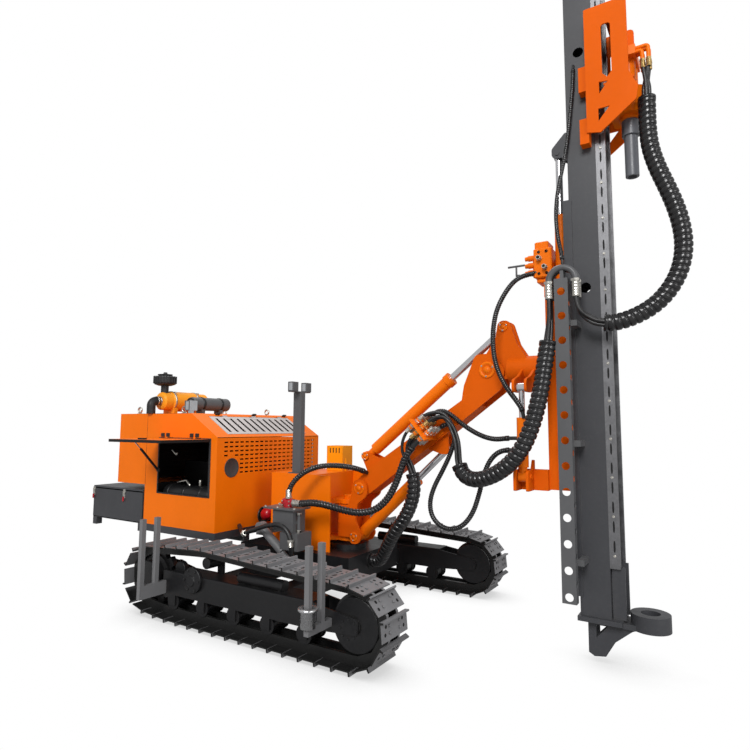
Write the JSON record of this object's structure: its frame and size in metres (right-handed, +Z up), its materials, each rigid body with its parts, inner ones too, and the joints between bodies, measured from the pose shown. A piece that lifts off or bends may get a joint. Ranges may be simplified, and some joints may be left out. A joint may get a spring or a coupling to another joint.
{
  "type": "crawler drilling rig",
  "caption": "Tracked drilling rig with an engine canopy, a swinging boom and a tall feed mast whose carriage drives a rotating spindle through a guide ring.",
  "frame": {"origin": "on the ground under the middle of the whole rig", "axes": "+X towards the mast, +Y to the rig's left side, +Z up"},
  "size_m": [5.318, 2.4628, 4.81],
  "materials": {
    "orange_paint": "satin",
    "dark_grey_paint": "satin",
    "light_grey_paint": "satin",
    "black_paint": "satin",
    "track_steel": "worn",
    "chrome": "polished",
    "bright_steel": "machined",
    "black_plastic": "matte",
    "red_paint": "gloss",
    "lamp_glass": "clear",
    "hose_rubber": "matte"
  },
  "bodies": {
    "base": {"air_cleaner": "orange_paint", "air_valve": "red_paint", "canopy_front": "orange_paint", "canopy_left_side": "orange_paint", "canopy_rear": "orange_paint", "canopy_right_side": "orange_paint", "canopy_roof": "orange_paint", "center_frame": "dark_grey_paint", "control_box": "orange_paint", "deck": "dark_grey_paint", "engine_block": "black_paint", "final_drives": "dark_grey_paint", "idlers": "dark_grey_paint", "intake_pipes": "black_plastic", "lamp_post": "light_grey_paint", "lamps": "lamp_glass", "leveling_cylinder": "light_grey_paint", "lubricator": "light_grey_paint", "muffler": "light_grey_paint", "rod_racks": "dark_grey_paint", "rollers": "dark_grey_paint", "sprockets": "dark_grey_paint", "swing_column": "orange_paint", "tank_box": "orange_paint", "toolbox": "dark_grey_paint", "track_frames": "dark_grey_paint", "track_left": "track_steel", "track_right": "track_steel"},
    "door_right": {"door_right": "orange_paint"},
    "door_left": {"door_left": "orange_paint"},
    "radiator_hatch": {"radiator_hatch": "light_grey_paint"},
    "toolbox_door": {"toolbox_door": "dark_grey_paint"},
    "swing_bracket": {"swing_bracket": "orange_paint", "base_hoses": "hose_rubber"},
    "lift_barrel": {"lift_barrel": "orange_paint"},
    "lift_rod": {"lift_rod": "chrome"},
    "boom": {"boom": "orange_paint", "hose_manifold": "orange_paint"},
    "tilt_barrel": {"tilt_barrel": "orange_paint"},
    "tilt_rod": {"tilt_rod": "chrome"},
    "tilt_head": {"tilt_head": "orange_paint", "lean_hoses": "hose_rubber"},
    "mast_carrier": {"mast_carrier": "orange_paint", "slide_barrel": "orange_paint", "mast_hoses": "hose_rubber"},
    "lean_barrel": {"lean_barrel": "orange_paint"},
    "lean_rod": {"lean_rod": "chrome"},
    "mast": {"mast_beam": "dark_grey_paint", "guide_rails": "bright_steel", "slide_rod": "chrome", "feed_chains": "dark_grey_paint", "mast_foot": "dark_grey_paint", "hose_guide": "dark_grey_paint", "feed_drive": "orange_paint", "feed_hoses": "hose_rubber"},
    "carriage": {"carriage": "orange_paint", "rotary_gearbox": "orange_paint"},
    "spindle": {"spindle": "bright_steel"}
  },
  "joints": [
    {"name": "door_right_hinge", "type": "hinge", "parent": "base", "child": "door_right", "pos_m": [-0.1045, -0.5975, 1.412], "axis": [1, 0, 0], "range_deg": [0, 90]},
    {"name": "door_left_hinge", "type": "hinge", "parent": "base", "child": "door_left", "pos_m": [-0.1045, 0.8205, 1.412], "axis": [1, 0, 0], "range_deg": [0, 90]},
    {"name": "radiator_hatch_hinge", "type": "hinge", "parent": "base", "child": "radiator_hatch", "pos_m": [-1.09174, 0.1115, 1.61308], "axis": [0, -1, 0], "range_deg": [0, 75]},
    {"name": "toolbox_door_hinge", "type": "hinge", "parent": "base", "child": "toolbox_door", "pos_m": [-0.1045, -0.5928, 0.62], "axis": [1, 0, 0], "range_deg": [0, 90]},
    {"name": "boom_swing", "type": "hinge", "parent": "base", "child": "swing_bracket", "pos_m": [0.0955, 0.1115, 0], "axis": [0, 0, 1], "range_deg": [-35, 35], "deforming": ["base_hoses"]},
    {"name": "boom_lift", "type": "hinge", "parent": "swing_bracket", "child": "boom", "pos_m": [0.2755, 0.1115, 1.01], "axis": [0, -1, 0], "range_deg": [-25, 20]},
    {"name": "lift_barrel_pivot", "type": "hinge", "parent": "swing_bracket", "child": "lift_barrel", "pos_m": [0.2255, 0.1115, 0.61], "axis": [0, -1, 0], "range_deg": [-30, 30]},
    {"name": "lift_rod_slide", "type": "slide", "parent": "lift_barrel", "child": "lift_rod", "axis": [0.7355, 0, 0.6775], "range_m": [-0.16, 0.13]},
    {"name": "mast_tilt", "type": "hinge", "parent": "boom", "child": "tilt_head", "pos_m": [1.3955, 0.1115, 1.95], "axis": [0, 1, 0], "range_deg": [-75, 10], "deforming": ["lean_hoses"]},
    {"name": "tilt_barrel_pivot", "type": "hinge", "parent": "boom", "child": "tilt_barrel", "pos_m": [0.2955, 0.1115, 1.275], "axis": [0, -1, 0], "range_deg": [-20, 20]},
    {"name": "tilt_rod_slide", "type": "slide", "parent": "tilt_barrel", "child": "tilt_rod", "axis": [0.7749, 0, 0.632], "range_m": [-0.48, 0.09]},
    {"name": "mast_lean", "type": "hinge", "parent": "tilt_head", "child": "mast_carrier", "pos_m": [-0.1045, 0.1115, 1.95], "axis": [1, 0, 0], "range_deg": [-20, 20]},
    {"name": "lean_barrel_pivot", "type": "hinge", "parent": "mast_carrier", "child": "lean_barrel", "pos_m": [1.7055, -0.1385, 1.19], "axis": [1, 0, 0], "range_deg": [-15, 15]},
    {"name": "lean_rod_slide", "type": "slide", "parent": "lean_barrel", "child": "lean_rod", "axis": [0, 0, 1], "range_m": [-0.12, 0.12]},
    {"name": "mast_slide", "type": "slide", "parent": "mast_carrier", "child": "mast", "axis": [0, 0, 1], "range_m": [-0.24, 0.1], "deforming": ["mast_hoses"]},
    {"name": "feed", "type": "slide", "parent": "mast", "child": "carriage", "axis": [0, 0, 1], "range_m": [-2.6, 0.3], "deforming": ["feed_hoses"]},
    {"name": "spindle_spin", "type": "hinge", "parent": "carriage", "child": "spindle", "pos_m": [2.4305, 0.1115, 0], "axis": [0, 0, 1], "continuous": true}
  ],
  "couplings": [
    {"joint": "lift_barrel_pivot", "follows": "boom_lift", "ratio": 0.72594},
    {"joint": "lift_rod_slide", "follows": "boom_lift", "m_per_rad": 0.2726},
    {"joint": "tilt_barrel_pivot", "follows": "mast_tilt", "ratio": -0.12959},
    {"joint": "tilt_rod_slide", "follows": "mast_tilt", "m_per_rad": 0.26585},
    {"joint": "lean_barrel_pivot", "follows": "mast_lean", "ratio": 0.24909},
    {"joint": "lean_rod_slide", "follows": "mast_lean", "m_per_rad": 0.24416}
  ]
}
